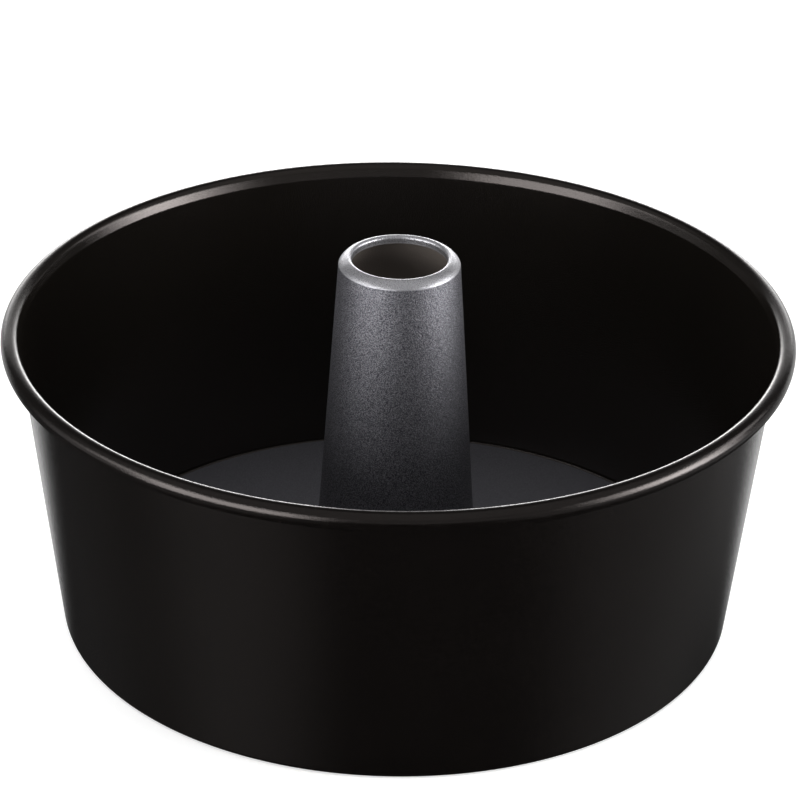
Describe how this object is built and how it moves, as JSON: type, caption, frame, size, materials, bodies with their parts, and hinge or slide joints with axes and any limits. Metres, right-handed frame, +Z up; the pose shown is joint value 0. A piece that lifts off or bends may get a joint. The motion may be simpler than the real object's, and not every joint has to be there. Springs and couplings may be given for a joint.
{
  "type": "angel food cake pan",
  "caption": "Round tapered cake pan with a flared and rolled rim; its loose flat bottom carries a hollow tapered centre tube and lifts out of the ring to free the cake.",
  "frame": {"origin": "centre of the flat underside that the pan stands on", "axes": "+Z up along the pan's axis, out of its mouth"},
  "size_m": [0.2408, 0.2408, 0.1184],
  "materials": {
    "ring_coating": "warm black satin non-stick coating on sheet steel, with a very fine grain",
    "insert_coating": "gunmetal grey satin non-stick coating with fine metallic speckle"
  },
  "bodies": {
    "pan": {"pan_ring": "ring_coating"},
    "insert": {"base_plate": "insert_coating", "centre_tube": "insert_coating"}
  },
  "joints": [
    {"name": "insert_lift", "type": "slide", "parent": "pan", "child": "insert", "axis": [0, 0, 1], "range_m": [0, 0.11]}
  ]
}
